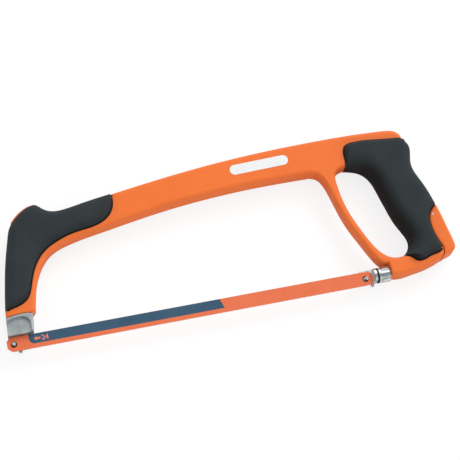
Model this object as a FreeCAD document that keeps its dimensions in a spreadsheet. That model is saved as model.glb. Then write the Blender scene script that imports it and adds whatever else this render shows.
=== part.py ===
import FreeCAD, Part
import math
import os
import Sketcher

# A 300 mm hacksaw lying on its side.  +X runs along the blade from the front
# arm to the handle, +Y from the blade to the main beam, +Z up, square to the
# saw.  The sizes below are written about the front blade pin; on_bench() then
# moves every piece so that the origin is under the middle of the whole saw.

V = FreeCAD.Vector
doc = FreeCAD.newDocument("hacksaw")
sheet = doc.addObject("Spreadsheet::Sheet", "Dims")

# --------------------------------------------------------------- dimensions
DIMS = [
    ("hole_centres", 300.0, "blade hole to blade hole"),
    ("blade_width", 12.6, "back of the blade to the tips of the teeth"),
    ("blade_thick", 0.65, "blade thickness"),
    ("blade_overhang", 6.2, "hole centre to the end of the blade"),
    ("blade_hole", 4.3, "hole diameter"),
    ("tooth_pitch", 1.058, "tooth to tooth"),
    ("tooth_depth", 0.7, "tooth height"),
    ("pin_dia", 3.3, "blade pin diameter"),
    ("pin_gap", 0.03, "gap left where a pin bears on its hole"),
    ("spare_offset", 4.3, "spare pin behind the blade pin"),
    ("seat_drop", 4.2, "lower seat below the blade line"),
    ("spare_depth", -2.6, "spare pin axis below the blade's underside"),
    ("shank_dia", 2.6, "spare pin shank pressed into its seat"),
    ("frame_thick", 16.0, "thickness of the frame casting"),
    ("frame_round", 2.5, "edge radius of the frame"),
    ("grip_thick", 28.0, "thickness over both rubber grips"),
    ("grip_round", 3.0, "edge radius of the rubber"),
    ("rod_dia", 5.0, "draw bar diameter"),
    ("rod_line", 1.1, "draw bar axis above the blade line"),
    ("holder_dia", 13.0, "rear holder diameter"),
    ("nut_dia", 13.6, "tension nut over the crown"),
    ("nut_length", 9.8, "tension nut length"),
    ("pivot_along", 360.5, "lever pivot along the saw"),
    ("pivot_up", 11.5, "lever pivot above the blade line"),
    ("pivot_dia", 3.0, "lever pivot pin diameter"),
    ("cam_dia", 6.8, "cam disc diameter"),
    ("cam_throw", 1.2, "cam centre ahead of the pivot"),
    ("slot_wide", 10.6, "slot for the lever's cheeks"),
    ("tail_thick", 4.6, "flat tail of the draw bar"),
    ("label_thick", 0.25, "label plate thickness"),
    ("bench_along", 189.0, "middle of the saw along the blade"),
    ("bench_up", 62.25, "middle of the saw above the blade line"),
]
for row, (name, value, note) in enumerate(DIMS, start=1):
    sheet.set("A%d" % row, note)
    sheet.set("B%d" % row, str(value))
    sheet.setAlias("B%d" % row, name)
doc.recompute()

D = {name: float(sheet.get(name)) for name, value, note in DIMS}
HALF = D["frame_thick"] / 2
PIVOT = V(D["pivot_along"], D["pivot_up"], 0)
PIN_SLACK = (D["blade_hole"] - D["pin_dia"]) / 2 - D["pin_gap"]
REAR_PIN = D["hole_centres"] + 2 * PIN_SLACK
BAR_END = 11.1          # the lower bar ends in an arc about the lever pivot
LEVER_START = 11.5      # and the lever starts just outside it
NOSE = 322.4            # front face of the handle's nose
SUBPARTS = {}


# ------------------------------------------------------------------ helpers
def on_bench(node, obj):
    """Move a finished sub-part into the shared frame and keep it for export."""
    move = V(-D["bench_along"], -D["bench_up"], D["grip_thick"] / 2)
    obj.Placement = FreeCAD.Placement(move, FreeCAD.Rotation()).multiply(obj.Placement)
    obj.Label = node
    SUBPARTS[node] = obj
    return obj


def curve(points):
    """A smooth edge through a few points of the saw's side view."""
    spline = Part.BSplineCurve()
    spline.interpolate([V(x, y, 0) for x, y in points])
    return spline.toShape()


def line(a, b):
    return Part.makeLine(V(a[0], a[1], 0), V(b[0], b[1], 0))


def arc_about(centre, radius, start, end):
    """An arc from one angle to another, in degrees, about a point."""
    circle = Part.Circle(centre, V(0, 0, 1), radius)
    return Part.Arc(circle, math.radians(start), math.radians(end)).toShape()


def polar(centre, radius, angle):
    a = math.radians(angle)
    return (centre.x + radius * math.cos(a), centre.y + radius * math.sin(a))


def slab(edges, low, high, holes=()):
    """A flat piece between two heights, from its closed outline."""
    outer = Part.Wire(Part.__sortEdges__(edges))
    inner = [Part.Wire(Part.__sortEdges__(hole)) for hole in holes]
    face = Part.Face([outer] + inner) if inner else Part.Face(outer)
    if face.Area < 0:
        face.reverse()
    solid = face.extrude(V(0, 0, high - low))
    solid.translate(V(0, 0, low))
    return solid


def box(x0, x1, y0, y1, z0, z1):
    return Part.makeBox(x1 - x0, y1 - y0, z1 - z0, V(x0, y0, z0))


def disc(x, y, radius, z0, z1):
    return Part.makeCylinder(radius, z1 - z0, V(x, y, z0))


def along(x0, x1, radius, y=None):
    """A round bar along the draw bar's axis."""
    height = D["rod_line"] if y is None else y
    return Part.makeCylinder(radius, x1 - x0, V(x0, height, 0), V(1, 0, 0))


def feature(node, shape):
    """Keep a shape made in code as an object of the document."""
    obj = doc.addObject("Part::Feature", node)
    obj.Shape = shape
    return on_bench(node, obj)


def rim(solid, height, keep=lambda edge: True):
    """The edges of a slab that lie in its two flat faces."""
    found = []
    for edge in solid.Edges:
        box_ = edge.BoundBox
        if abs(abs(box_.ZMin) - height) < 1e-4 and abs(box_.ZMax - box_.ZMin) < 1e-4:
            if keep(edge):
                found.append(edge)
    return found


def cylinder(node, diameter, length, at, direction=V(0, 0, 1), edge=0.0):
    """A plain pin whose diameter is bound to the sheet, with a broken edge."""
    obj = doc.addObject("Part::Cylinder", node + "_blank")
    obj.setExpression("Radius", "Dims.%s / 2" % diameter)
    obj.Height = length
    obj.Placement = FreeCAD.Placement(at, FreeCAD.Rotation(V(0, 0, 1), direction))
    doc.recompute()
    if not edge:
        return on_bench(node, obj)
    ends = [i + 1 for i, e in enumerate(obj.Shape.Edges) if e.Closed]
    chamfer = doc.addObject("Part::Chamfer", node)
    chamfer.Base = obj
    chamfer.Edges = [(i, edge, edge) for i in ends]
    doc.recompute()
    return on_bench(node, chamfer)


# ------------------------------------------------------------ frame casting
# Front arm, beam, knuckle guard, lower bar and the column inside the grip are
# one casting.  Under the rubber its outline steps in by the rubber's thickness.
THROAT = curve([(21.9, 22.4), (23.6, 33), (27.0, 47.5), (33.4, 61.8), (44, 73.6), (60, 80.3),
                (90, 86.4), (130, 93.4), (180, 99.6), (228, 102.3), (277, 102.5)])
GUARD = curve([(277, 102.5), (282, 100.6), (286.3, 94.5), (289.5, 83.5), (292.3, 70),
               (297.5, 50.5), (304.5, 33.5), (313.5, 15.0), (NOSE, 8.8)])
BAR_LOW = [(NOSE, -2.4), (328.3, -3.3), (340, -2.1), (355.3, 0.6)]
BEAM_TOP = curve([(352, 130.2), (318.5, 131.5), (278.5, 131.2), (238.5, 129.8),
                  (198.5, 127.0), (148.5, 121.4), (103, 114.8)])
BEAM_END = curve([(352, 130.2), (358, 128.8), (362, 126), (364.2, 121), (364.4, 115)])
ARM_TOP = [line((103, 114.8), (56, 107)),
           curve([(56, 107), (49, 107.6), (43, 111), (38, 115), (33, 115.8), (26, 114), (17, 107),
                  (11.5, 97), (6.8, 79), (3.6, 65), (0.9, 50), (-1.1, 36), (-2.8, 22)])]
ARM_FOOT = curve([(-2.8, 22.0), (4, 23.0), (11, 23.4), (21.9, 22.4)])


def bar_end():
    """Lower bar: its underside, then the arc about the lever pivot."""
    low = polar(PIVOT, BAR_END, -31)
    high = polar(PIVOT, BAR_END, 12)
    under = curve(BAR_LOW + [low])
    return [under, arc_about(PIVOT, BAR_END, -31, 12)], high


def column_back(start):
    """Rear edge of the casting's column, hidden in the rubber grip."""
    return curve([start, (366.5, 20), (363.5, 28), (362.8, 36), (364.2, 44), (367.5, 52),
                  (369, 60), (367, 72), (362.5, 86), (360, 98), (359, 110)])


def pad_seat():
    """Two bands cut off the edge so that the rubber lies flush; a crest stays between."""
    top = [curve([(103, 111.8), (88, 109.2), (73, 106.5), (58, 104.1), (49, 104.2),
                  (41.5, 108), (34.8, 112.8)]),
           line((34.8, 112.8), (32.5, 122)), line((32.5, 122), (103, 122)),
           line((103, 122), (103, 111.8))]
    front = [curve([(15.8, 101.5), (12.4, 90), (9.5, 79), (6.3, 65), (3.8, 50), (1.9, 33.4)]),
             line((1.9, 33.4), (-9, 32)), line((-9, 32), (-9, 104)), line((-9, 104), (15.8, 101.5))]
    return slab(top, -HALF - 1, HALF + 1).fuse(slab(front, -HALF - 1, HALF + 1))


def finger_hole():
    """Opening of the handle in the casting, behind the knuckle guard."""
    points = [(296.2, 92), (297.6, 99.6), (303, 102.7), (309, 103.4), (316, 104.6),
              (327, 102.5), (335, 93), (337.5, 80), (340.5, 63), (345, 47), (350, 33),
              (351, 24), (346, 15.8), (337, 12.4), (328, 12.4), (320.3, 16.4),
              (312, 28.8), (306.2, 44), (301.6, 58), (297.8, 74)]
    spline = Part.BSplineCurve()
    spline.interpolate([V(x, y, 0) for x, y in points], PeriodicFlag=True)
    return [spline.toShape()]


def frame_outline():
    end, top = bar_end()
    nose = line((NOSE, 8.8), (NOSE, -2.4))
    back = [column_back(top), line((359, 110), (364.4, 115)), BEAM_END, BEAM_TOP]
    return [THROAT, GUARD, nose] + end + back + ARM_TOP + [ARM_FOOT]


def frame_blank(grow=0.0):
    body = slab(frame_outline(), -HALF - grow, HALF + grow, [finger_hole()])
    if not grow:
        body = body.makeFillet(D["frame_round"], rim(body, HALF, lambda e: e.Length > 9.5))
    return body.cut(pad_seat())


def tail_slot():
    """Tunnel for the draw bar's flat tail and the bay for the lever's cheeks."""
    half_tail = D["tail_thick"] / 2 + 0.3
    tunnel = slab([line((330, -1.7), (334.5, -1.45)), line((334.5, -1.45), (340, 0.2)),
                   line((340, 0.2), (356.5, 4.0)),
                   line((356.5, 4.0), (368.5, 5.6)), line((368.5, 5.6), (368.5, 19)),
                   line((368.5, 19), (352, 19)), line((352, 19), (330, 4.0)),
                   line((330, 4.0), (330, -1.7))], -half_tail, half_tail)
    half = D["slot_wide"] / 2
    hub = disc(PIVOT.x, PIVOT.y, 6.9, -half, half)
    sweep = slab([line((360.5, 5.2), (374, 4.6)), line((374, 4.6), (374, 26)),
                  line((374, 26), (360.5, 26)), line((360.5, 26), (360.5, 5.2))], -half, half)
    return tunnel.fuse(hub).fuse(sweep)


def make_frame():
    body = frame_blank()
    cuts = tail_slot()
    cuts = cuts.fuse(along(NOSE - 1, NOSE + 12, 3.3)).fuse(along(NOSE, 334.2, D["rod_dia"] / 2 + 0.3))
    cuts = cuts.fuse(disc(PIVOT.x, PIVOT.y, D["pivot_dia"] / 2, -HALF - 1, HALF + 1))
    cuts = cuts.fuse(box(4, 17, 20, 40.2, -4, 4)).fuse(disc(9, 35, 2, -HALF - 1, HALF + 1))
    cuts = cuts.fuse(box(361.4, 372, 39, 50, -3.3, 3.3))
    return feature("saw_frame", body.cut(cuts))


# -------------------------------------------------------------- rubber grips
def pad_outline():
    outer = curve([(102.5, 114.4), (88, 112.1), (73, 109.4), (58, 106.9), (48.5, 107),
                   (41, 111), (35, 115.6), (28, 114.2), (18, 107.2), (12.5, 99.5), (9.8, 90.4),
                   (6.8, 79), (3.6, 65), (0.9, 50), (-0.9, 37), (-1.6, 28.4)])
    inner = curve([(-1.6, 28.4), (4, 29.2), (11, 31.0), (17.2, 35.2), (20.6, 41.5), (24.3, 53),
                   (29.6, 64.2), (39.2, 74.9), (51, 81.4), (66, 86.2), (86, 89.6), (97, 96.1),
                   (101.4, 104), (102.5, 114.4)])
    return [outer, inner]


def grip_outline():
    top = curve([(308.2, 101.9), (309.4, 108), (309.7, 115), (312, 120.5), (319, 122.7),
                 (338, 122), (358, 119.9), (365.2, 117.6), (368.6, 112), (368.1, 105),
                 (366.2, 97), (366.2, 89.5), (369.9, 78), (374.1, 65), (376.7, 54.3)])
    back = curve([(376.7, 54.3), (372.0, 50.7), (368.2, 45.6), (366.3, 38.8), (366.4, 31.5),
                  (367.5, 24.5), (370.2, 12.4)])
    foot = curve([(370.2, 12.4), (369.4, 11.2), (360, 8.5), (351, 5.6), (347, 6.2),
                  (342.5, 10.4), (336.5, 12.5)])
    front = curve([(336.5, 12.5), (343, 19.2), (345.4, 26), (342.5, 37), (338, 48),
                   (334.5, 62), (331.5, 75), (328.6, 86.5), (322, 96.5), (308.2, 101.9)])
    return [top, back, foot, front]


def rubber(node, outline, extra=None):
    """A rubber grip: a thick slab moulded round the casting."""
    half = D["grip_thick"] / 2
    body = slab(outline, -half, half)
    body = body.makeChamfer(D["grip_round"], rim(body, half))
    core = frame_blank(grow=0.02)
    body = body.cut(core)
    if extra:
        body = body.cut(extra)
    return feature(node, body)


def make_grips():
    rubber("front_grip_pad", pad_outline(), disc(9, 35, 2.02, -HALF, HALF))
    bay = box(360, 378, 9, 49.5, -5.6, 5.6)
    lever_room = slab(lever_outline(0.35), -HALF - 0.3, HALF + 0.3)
    rubber("handle_grip", grip_outline(), bay.fuse(lever_room))


def make_label():
    """A bare white plate with round ends, stuck on the beam."""
    left, right, radius = V(212, 116.8, 0), V(255, 118.3, 0), 4.6
    tilt = math.degrees(math.atan2(right.y - left.y, right.x - left.x))
    edges = [arc_about(left, radius, 90 + tilt, 270 + tilt),
             arc_about(right, radius, -90 + tilt, 90 + tilt),
             line(polar(left, radius, 90 + tilt), polar(right, radius, 90 + tilt)),
             line(polar(left, radius, -90 + tilt), polar(right, radius, -90 + tilt))]
    feature("label_plate", slab(edges, HALF, HALF + D["label_thick"]))


# ------------------------------------------------------------- front anchor
def make_front_anchor():
    """Silver block at the foot of the arm: a tenon, a milled recess, a seat."""
    block = slab([line((-3.9, 6.7), (-2.9, 21.6)), curve([(-2.9, 21.6), (4, 22.9), (11, 23.3), (19.6, 22.3)]),
                  line((19.6, 22.3), (17.6, 6.7)), line((17.6, 6.7), (-3.9, 6.7))], -7.4, 7.4)
    block = block.makeFillet(1.0, rim(block, 7.4))
    recess = anchor_recess()
    seat = slab([line((-3.9, 7.2), (-4.2, -1)), line((-4.2, -1), (-2, -D["seat_drop"])),
                 line((-2, -D["seat_drop"]), (12, -D["seat_drop"])), line((12, -D["seat_drop"]), (14.6, 0)),
                 line((14.6, 0), (15.3, 7.2)), line((15.3, 7.2), (-3.9, 7.2))], -5.5, -0.02)
    tenon = box(4.1, 16.9, 15, 40, -3.95, 3.95)
    body = block.cut(recess).cut(box(-6, 20, 5, 6.7, -0.02, 9)).fuse(seat).fuse(tenon)
    body = body.cut(disc(9, 35, 2, -9, 9))
    body = body.cut(disc(0, 0, D["pin_dia"] / 2, -3.5, 1))
    body = body.cut(spare_pin_blank(D["spare_offset"]))
    feature("front_blade_anchor", body.removeSplitter())


def anchor_recess():
    """The shallow dish in the block's upper face, open toward the blade's end."""
    wall = curve([(-6, 17.6), (-1.5, 19.2), (4, 20.6), (8.8, 20.9), (13, 19.9), (15.6, 17.2),
                  (16.5, 13), (16.1, 8), (15.4, 3)])
    dish = slab([wall, line((15.4, 3), (-6, 3)), line((-6, 3), (-6, 17.6))], 5.0, 9)
    foot = [edge for edge in rim(dish, 5.0) if edge.Length > 25]
    return dish.makeFillet(1.4, foot)


def spare_pin_blank(x):
    """The thin shank of a spare pin, pressed into the seat."""
    start = V(x, -D["seat_drop"] + 2.6, D["spare_depth"])
    return Part.makeCylinder(D["shank_dia"] / 2, 2.6, start, V(0, -1, 0))


def spare_pin(x):
    """A stepped pin: shank, shoulder against the seat, and a chamfered end."""
    start = V(x, -D["seat_drop"], D["spare_depth"])
    head = Part.makeCylinder(D["pin_dia"] / 2, 2.8, start, V(0, -1, 0))
    tip = [edge for edge in head.Edges if edge.Closed and edge.BoundBox.YMax < start.y - 2.7]
    return head.makeChamfer(0.35, tip).fuse(spare_pin_blank(x)).removeSplitter()


def make_pins():
    """Blade pins stand up from the seats; spare pins point down for a turned blade."""
    cylinder("front_blade_pin", "pin_dia", 6.4, V(0, 0, -3.5), edge=0.35)
    cylinder("rear_blade_pin", "pin_dia", 6.4, V(REAR_PIN, 0, -3.5), edge=0.35)
    feature("front_spare_pin", spare_pin(D["spare_offset"]))
    feature("rear_spare_pin", spare_pin(REAR_PIN + D["spare_offset"]))
    cylinder("lever_pivot_pin", "pivot_dia", D["frame_thick"] - 0.4, V(PIVOT.x, PIVOT.y, -HALF + 0.2), edge=0.3)


def make_cross_pin():
    obj = doc.addObject("Part::Cylinder", "anchor_cross_pin")
    obj.Radius = 2.0
    obj.setExpression("Height", "Dims.frame_thick - 0.2")
    obj.Placement = FreeCAD.Placement(V(9, 35, -HALF + 0.1), FreeCAD.Rotation())
    doc.recompute()
    on_bench("anchor_cross_pin", obj)


# -------------------------------------------------------------------- blade
def make_blade():
    """Steel strip with a round hole near each end and teeth along the lower edge."""
    half = D["blade_width"] / 2
    left = PIN_SLACK - D["blade_overhang"]
    right = PIN_SLACK + D["hole_centres"] + D["blade_overhang"]
    root = -half + D["tooth_depth"]
    teeth = int((right - left - 9.0) / D["tooth_pitch"])
    start = (left + right - teeth * D["tooth_pitch"]) / 2
    points = [V(start, root, 0)]
    for i in range(teeth):
        x = start + i * D["tooth_pitch"]
        points.append(V(x + 0.25 * D["tooth_pitch"], -half, 0))
        points.append(V(x + D["tooth_pitch"], root, 0))
    corner = 3.0
    outline = [(points[-1].x, root), (right - corner, root), (right, root + corner),
               (right, half - corner), (right - corner, half), (left + corner, half),
               (left, half - corner), (left, root + corner), (left + corner, root), (start, root)]
    wire = Part.makePolygon(points + [V(x, y, 0) for x, y in outline[1:]])
    blade = Part.Face(wire).extrude(V(0, 0, D["blade_thick"]))
    for x in (PIN_SLACK, PIN_SLACK + D["hole_centres"]):
        blade = blade.cut(disc(x, 0, D["blade_hole"] / 2, -1, 2))
    feature("saw_blade", blade)


# ---------------------------------------------------- rear holder and nut
def make_rear_holder():
    """Milled round bar: flat seat for the blade, shoulder, and a hollow spigot."""
    radius = D["holder_dia"] / 2
    axis = D["rod_line"]
    body = along(REAR_PIN - 4.7, 309.7, radius).fuse(along(309.7, 314.4, 4.0))
    body = body.cut(box(290, 307.7, -9, 9, -0.02, 9))
    body = body.cut(box(290, 309.7, -9, -D["seat_drop"], -9, 9))
    body = body.cut(box(290, 306.0, -9, 12, -9, -5.5))
    body = body.cut(along(308.6, 315, D["rod_dia"] / 2 + 0.3))
    groove = along(312.9, 313.7, 5).cut(along(312.9, 313.7, 3.5))
    body = body.cut(groove)
    body = body.cut(disc(REAR_PIN, 0, D["pin_dia"] / 2, -3.5, 1))
    body = body.cut(spare_pin_blank(REAR_PIN + D["spare_offset"]))
    feature("rear_blade_holder", body)


def ring(node, x0, x1, inner, outer):
    obj = feature(node, along(x0, x1, outer).cut(along(x0, x1, inner)))
    return obj


def make_tension_nut():
    """Crown nut: a round flange and six blocks, threaded on the draw bar."""
    nut = doc.addObject("PartDesign::Body", "tension_nut")
    planes = {o.Role: o for o in nut.Origin.OriginFeatures}

    def round_pad(name, dia, z0, z1):
        sketch = nut.newObject("Sketcher::SketchObject", name + "_sketch")
        sketch.AttachmentSupport = [(planes["XY_Plane"], "")]
        sketch.MapMode = "FlatFace"
        sketch.AttachmentOffset = FreeCAD.Placement(V(0, 0, z0), FreeCAD.Rotation())
        sketch.addGeometry(Part.Circle(V(0, 0, 0), V(0, 0, 1), dia / 2))
        sketch.addConstraint(Sketcher.Constraint("Coincident", 0, 3, -1, 1))
        sketch.addConstraint(Sketcher.Constraint("Diameter", 0, dia))
        pad = nut.newObject("PartDesign::Pad", name)
        pad.Profile = sketch
        pad.Length = z1 - z0
        return sketch, pad

    sketch, pad = round_pad("flange", 12.6, 0, 1.9)
    sketch.setExpression("Constraints[1]", "Dims.nut_dia - 1")
    sketch, pad = round_pad("hub", 9.6, 1.5, 9.8)
    pad.setExpression("Length", "Dims.nut_length - 1.5")
    doc.recompute()
    block = nut.newObject("Sketcher::SketchObject", "block_sketch")
    block.AttachmentSupport = [(planes["XY_Plane"], "")]
    block.MapMode = "FlatFace"
    block.AttachmentOffset = FreeCAD.Placement(V(0, 0, 2.6), FreeCAD.Rotation())
    corners = [V(2.0, 1.9, 0), V(6.8, 1.5, 0), V(6.8, -1.5, 0), V(2.0, -1.9, 0)]
    for i in range(4):
        block.addGeometry(Part.LineSegment(corners[i], corners[(i + 1) % 4]))
    for i in range(4):
        block.addConstraint(Sketcher.Constraint("Coincident", i, 2, (i + 1) % 4, 1))
    lobe = nut.newObject("PartDesign::Pad", "lobe")
    lobe.Profile = block
    lobe.Length = 6.6
    doc.recompute()
    turn = nut.newObject("PartDesign::PolarPattern", "lobes")
    turn.Originals = [lobe]
    turn.Axis = (block, ["N_Axis"])
    turn.Angle = 360
    turn.Occurrences = 6
    nut.Tip = turn
    doc.recompute()
    for name, dia, z0, z1 in (("spigot_bore", 8.2, -0.1, 3.1), ("ring_groove", 9.0, 1.1, 2.1),
                              ("thread", D["rod_dia"] + 0.12, 0, 11)):
        sketch = nut.newObject("Sketcher::SketchObject", name + "_sketch")
        sketch.AttachmentSupport = [(planes["XY_Plane"], "")]
        sketch.MapMode = "FlatFace"
        sketch.AttachmentOffset = FreeCAD.Placement(V(0, 0, z0), FreeCAD.Rotation())
        sketch.addGeometry(Part.Circle(V(0, 0, 0), V(0, 0, 1), dia / 2))
        sketch.addConstraint(Sketcher.Constraint("Diameter", 0, dia))
        pocket = nut.newObject("PartDesign::Pocket", name)
        pocket.Profile = sketch
        pocket.Length = z1 - z0
        pocket.Reversed = True
        doc.recompute()
    nut.Tip = pocket
    doc.recompute()
    nut.Placement = FreeCAD.Placement(V(311.7, D["rod_line"], 0),
                                      FreeCAD.Rotation(V(0, 1, 0), 90).multiply(FreeCAD.Rotation(V(0, 0, 1), 20)))
    on_bench("tension_nut", nut)


# ----------------------------------------------------------------- draw bar
def make_draw_bar():
    """Round threaded rod in front, a flat tail behind with a window for the cam."""
    half = D["tail_thick"] / 2
    low = D["rod_line"] - D["rod_dia"] / 2
    rod = along(310.0, 333.6, D["rod_dia"] / 2)
    x, y = PIVOT.x, PIVOT.y
    tail = slab([line((331.5, low + 0.1), (334, low + 0.3)), line((334, low + 0.3), (354.5, y - 6.2)),
                 line((354.5, y - 6.2), (364.5, y - 6.0)), line((364.5, y - 6.0), (366.6, y - 3)),
                 line((366.6, y - 3), (366.6, y + 4.5)), line((366.6, y + 4.5), (364.5, y + 6.6)),
                 line((364.5, y + 6.6), (354, y + 6.6)), line((354, y + 6.6), (331.5, 3.4)),
                 line((331.5, 3.4), (331.5, low + 0.1))], -half, half)
    reach = D["cam_dia"] / 2 + D["cam_throw"]
    window = box(x - 4.6, x + reach + 0.2, y - 4.8, y + 4.9, -9, 9)
    feature("draw_bar", rod.fuse(tail).cut(window).removeSplitter())


def make_nose_bush():
    bush = along(NOSE - 0.4, NOSE, 3.6).fuse(along(NOSE, NOSE + 8, 3.3))
    feature("nose_bush", bush.cut(along(NOSE - 1, NOSE + 9, D["rod_dia"] / 2 + 0.08)))


# -------------------------------------------------------------------- lever
def lever_outline(grow=0.0):
    """Side view of the lever; grow gives the room that the grip leaves for it."""
    low = polar(PIVOT, LEVER_START - grow, -31)
    high = polar(PIVOT, LEVER_START - grow, 33)
    inner = curve([high, (367.9 - grow, 25), (366.8 - grow, 31.5), (366.7 - grow, 38.5),
                   (368.6 - grow, 45.2), (372.3 - grow, 50.0 + grow), (376.7, 53.3 + grow)])
    outer = curve([(376.7, 53.3 + grow), (379.1, 41.6), (381.3, 27.2), (382.9, 15.8), (382.5, 11.6),
                   (380.0, 9.2), (375.4, 7.4), low])
    return [arc_about(PIVOT, LEVER_START - grow, -31, 33), inner, outer]


def make_lever():
    """Cast lever: grip part outside, two cheeks and the cam disc inside."""
    body = slab(lever_outline(), -HALF, HALF)
    body = body.makeFillet(2.2, rim(body, HALF))
    half = D["slot_wide"] / 2 - 0.3
    x, y = PIVOT.x, PIVOT.y
    neck = slab([line(polar(PIVOT, 4.0, -30), (372, y + 6.2)), line((372, y + 6.2), (372, y + 14)),
                 line((372, y + 14), (368.9, y + 14)), line((368.9, y + 14), polar(PIVOT, 5.2, 120)),
                 line(polar(PIVOT, 5.2, 120), polar(PIVOT, 4.0, -30))], -half, half)
    cheeks = disc(x, y, 5.6, -half, half).fuse(neck)
    gap = D["tail_thick"] / 2 + 0.3
    fork = box(x - 9, x + 7.3, y - 9, y + 9.4, -gap, gap)
    cam = disc(x + D["cam_throw"], y, D["cam_dia"] / 2, -gap - 0.2, gap + 0.2)
    body = body.fuse(cheeks.cut(fork)).fuse(cam)
    body = body.cut(disc(x, y, D["pivot_dia"] / 2 + 0.05, -9, 9))
    body = body.cut(clip_room())
    body = body.cut(disc(CATCH.x, CATCH.y, 1.0, -9, 9))
    feature("tension_lever", body.removeSplitter())


CATCH = V(371.2, 44.6, 0)


def catch_turned(shape):
    """The catch opens along the pin's path, which leans down from the X axis."""
    reach = CATCH - PIVOT
    lean = math.degrees(math.atan2(-reach.x, reach.y))
    shape.rotate(CATCH, V(0, 0, 1), lean)
    return shape


def clip_room():
    return catch_turned(box(CATCH.x - 8, CATCH.x + 2.0, CATCH.y - 3.2, CATCH.y + 3.2, -3.6, 3.6))


def make_catch():
    """Spring clip fixed in the column, and the lever's cross pin that it grips."""
    x, y = CATCH.x, CATCH.y
    clip = box(x - 5.4, x + 0.9, y - 1.9, y + 1.9, -2.8, 2.8)
    clip = clip.cut(box(x - 4.7, x + 2, y - 1.2, y + 1.2, -3, 3))
    feature("catch_clip", catch_turned(clip))
    obj = doc.addObject("Part::Cylinder", "lever_catch_pin")
    obj.Radius = 1.0
    obj.setExpression("Height", "Dims.frame_thick - 0.2")
    obj.Placement = FreeCAD.Placement(V(x, y, -HALF + 0.2), FreeCAD.Rotation())
    doc.recompute()
    on_bench("lever_catch_pin", obj)


# --------------------------------------------------------------------- main
make_frame()
make_grips()
make_label()
make_front_anchor()
make_pins()
make_cross_pin()
make_blade()
make_rear_holder()
ring("friction_ring", 309.75, 311.6, 4.05, 6.5)
ring("nut_snap_ring", 312.95, 313.65, 3.55, 4.35)
make_tension_nut()
make_draw_bar()
make_nose_bush()
make_lever()
make_catch()
doc.recompute()

for obj in doc.Objects:
    if "Invalid" in obj.State or "Error" in obj.State:
        raise RuntimeError("%s did not compute: %s" % (obj.Name, obj.State))
for node, obj in SUBPARTS.items():
    if obj.Shape.isNull() or not obj.Shape.isValid():
        raise RuntimeError("%s has no valid shape" % node)

os.makedirs("parts", exist_ok=True)
for node, obj in SUBPARTS.items():
    obj.Shape.exportStep(os.path.join("parts", node + ".step"))
    print("%-20s %8.1f mm3 %d solids" % (node, obj.Shape.Volume, len(obj.Shape.Solids)))
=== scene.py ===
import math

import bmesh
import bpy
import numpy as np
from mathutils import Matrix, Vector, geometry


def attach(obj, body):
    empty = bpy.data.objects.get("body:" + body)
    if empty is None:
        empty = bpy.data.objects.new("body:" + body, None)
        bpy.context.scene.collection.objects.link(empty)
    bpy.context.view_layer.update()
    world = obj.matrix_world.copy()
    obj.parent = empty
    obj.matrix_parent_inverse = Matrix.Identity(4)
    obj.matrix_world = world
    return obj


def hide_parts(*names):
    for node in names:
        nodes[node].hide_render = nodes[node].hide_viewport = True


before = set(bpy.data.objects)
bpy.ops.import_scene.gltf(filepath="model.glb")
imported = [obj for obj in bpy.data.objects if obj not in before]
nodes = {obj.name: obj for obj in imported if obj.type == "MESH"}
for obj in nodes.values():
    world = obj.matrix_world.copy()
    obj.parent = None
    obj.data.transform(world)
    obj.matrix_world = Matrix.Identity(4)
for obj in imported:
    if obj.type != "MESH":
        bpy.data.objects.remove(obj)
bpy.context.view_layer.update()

# %% [markdown]
# # A hacksaw with rubber grips
# The saw lies flat on a pale table.  A one-piece orange frame carries two
# charcoal rubber grips, and a thin painted blade is held between a silver
# block at the front and a turned holder with a crown nut at the back.
# The solids of the saw are already loaded as the frame, in metres, so this
# script only gives them their finishes and adds the soft and printed forms.

MM = 0.001

# %% [markdown]
# ## Where things are
# The saw was drawn about its front blade pin: x along the blade, y up to the
# beam, and z square to the saw, with 0 in the middle of its thickness.
# One helper turns such a point into the shared frame, because sizes are
# easier to read and check in the maker's own coordinates.

# %% Saw coordinates
ORIGIN = Vector((-189.0, -62.25, 14.0))  # the front blade pin in the shared frame, mm
PIVOT = Vector((360.5, 11.5, 0))         # the lever's hinge pin, mm from the blade pin


def at(x, y, z=0.0):
    """A point of the saw, in millimetres, as a place in the scene."""
    return (Vector((x, y, z)) + ORIGIN) * MM


print("front blade pin is at", [round(v, 4) for v in at(0, 0)])

# %% [markdown]
# ## Camera
# A catalogue view: almost straight down on the saw, from a little to the
# front and from the blade's side, with a long lens so that the beam and the
# blade stay nearly parallel.  The camera's axes are worked out from two
# angles and a roll, which are easier to think in than a rotation matrix.

# %% Make the camera
YAW = math.radians(10)        # toward the front of the saw
PITCH = math.radians(21)      # toward the blade's side
ROLL = math.radians(-13.75)   # how the saw slants in the picture
DISTANCE = 1.3                # from the saw, m
LENS, SENSOR = 119.14, 36.0   # mm
target = at(196.7, 65.9)      # the middle of the saw

back = Vector((-math.sin(YAW) * math.cos(PITCH),
               -math.sin(PITCH),
               math.cos(YAW) * math.cos(PITCH)))
right = (-back).cross(Vector((0, 1, 0))).normalized()
up = right.cross(-back)
across = math.cos(ROLL) * right + math.sin(ROLL) * up
upward = math.cos(ROLL) * up - math.sin(ROLL) * right
turned = Matrix((across, upward, back)).transposed().to_4x4()

camera = bpy.data.objects.new("camera", bpy.data.cameras.new("camera"))
bpy.context.collection.objects.link(camera)
camera.matrix_world = Matrix.Translation(target + back * DISTANCE) @ turned
camera.data.lens = LENS
camera.data.sensor_width = SENSOR
camera.data.clip_start = 0.05
bpy.context.scene.camera = camera
bpy.context.scene.view_settings.view_transform = "Standard"
print("camera at", [round(v, 3) for v in camera.location])

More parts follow.
